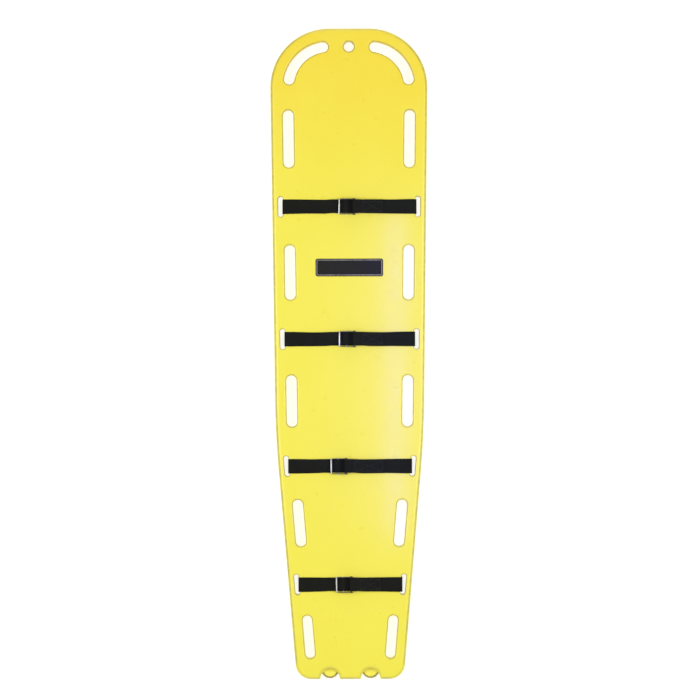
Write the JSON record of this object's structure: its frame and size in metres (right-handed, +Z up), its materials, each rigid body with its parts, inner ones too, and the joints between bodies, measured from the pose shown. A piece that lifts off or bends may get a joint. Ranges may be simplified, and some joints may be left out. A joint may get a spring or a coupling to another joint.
{
  "type": "spine board",
  "caption": "Long foam-filled plastic rescue board with carrying handholds, underside runners and webbing straps closed by metal friction buckles.",
  "frame": {"origin": "on the ground under the middle of the board", "axes": "+X to the board's right side seen from above with the head end away, +Y towards the head end, +Z up out of the face that the patient lies on"},
  "size_m": [0.442, 1.829, 0.0612],
  "materials": {
    "moulded_shell": "satin",
    "foam": "matte",
    "webbing": "matte",
    "plated_steel": "gloss",
    "plug": "matte",
    "label": "satin"
  },
  "bodies": {
    "board": {"board_shell": "moulded_shell", "foam_core": "foam", "fill_plug_head": "plug", "fill_plug_foot": "plug", "vent_plug": "plug", "id_label": "label", "chest_strap_web": "webbing", "chest_buckle_pin": "plated_steel", "hip_strap_web": "webbing", "hip_buckle_pin": "plated_steel", "thigh_strap_web": "webbing", "thigh_buckle_pin": "plated_steel", "shin_strap_web": "webbing", "shin_buckle_pin": "plated_steel"},
    "chest_buckle": {"chest_buckle_frame": "plated_steel"},
    "chest_slide_bar": {"chest_buckle_slide_bar": "plated_steel"},
    "hip_buckle": {"hip_buckle_frame": "plated_steel"},
    "hip_slide_bar": {"hip_buckle_slide_bar": "plated_steel"},
    "thigh_buckle": {"thigh_buckle_frame": "plated_steel"},
    "thigh_slide_bar": {"thigh_buckle_slide_bar": "plated_steel"},
    "shin_buckle": {"shin_buckle_frame": "plated_steel"},
    "shin_slide_bar": {"shin_buckle_slide_bar": "plated_steel"}
  },
  "joints": [
    {"name": "chest_buckle_lift", "type": "hinge", "parent": "board", "child": "chest_buckle", "pos_m": [0.0132, 0.4135, 0.056], "axis": [0, 1, 0], "range_deg": [0, 50], "deforming": ["chest_strap_web"]},
    {"name": "chest_bar_slide", "type": "slide", "parent": "chest_buckle", "child": "chest_slide_bar", "axis": [1, 0, 0], "range_m": [0, 0.005]},
    {"name": "hip_buckle_lift", "type": "hinge", "parent": "board", "child": "hip_buckle", "pos_m": [0.0132, 0.0415, 0.056], "axis": [0, 1, 0], "range_deg": [0, 50], "deforming": ["hip_strap_web"]},
    {"name": "hip_bar_slide", "type": "slide", "parent": "hip_buckle", "child": "hip_slide_bar", "axis": [1, 0, 0], "range_m": [0, 0.005]},
    {"name": "thigh_buckle_lift", "type": "hinge", "parent": "board", "child": "thigh_buckle", "pos_m": [-0.0108, -0.3155, 0.056], "axis": [0, 1, 0], "range_deg": [0, 50], "deforming": ["thigh_strap_web"]},
    {"name": "thigh_bar_slide", "type": "slide", "parent": "thigh_buckle", "child": "thigh_slide_bar", "axis": [1, 0, 0], "range_m": [0, 0.005]},
    {"name": "shin_buckle_lift", "type": "hinge", "parent": "board", "child": "shin_buckle", "pos_m": [0.0032, -0.648, 0.056], "axis": [0, 1, 0], "range_deg": [0, 50], "deforming": ["shin_strap_web"]},
    {"name": "shin_bar_slide", "type": "slide", "parent": "shin_buckle", "child": "shin_slide_bar", "axis": [1, 0, 0], "range_m": [0, 0.005]}
  ]
}
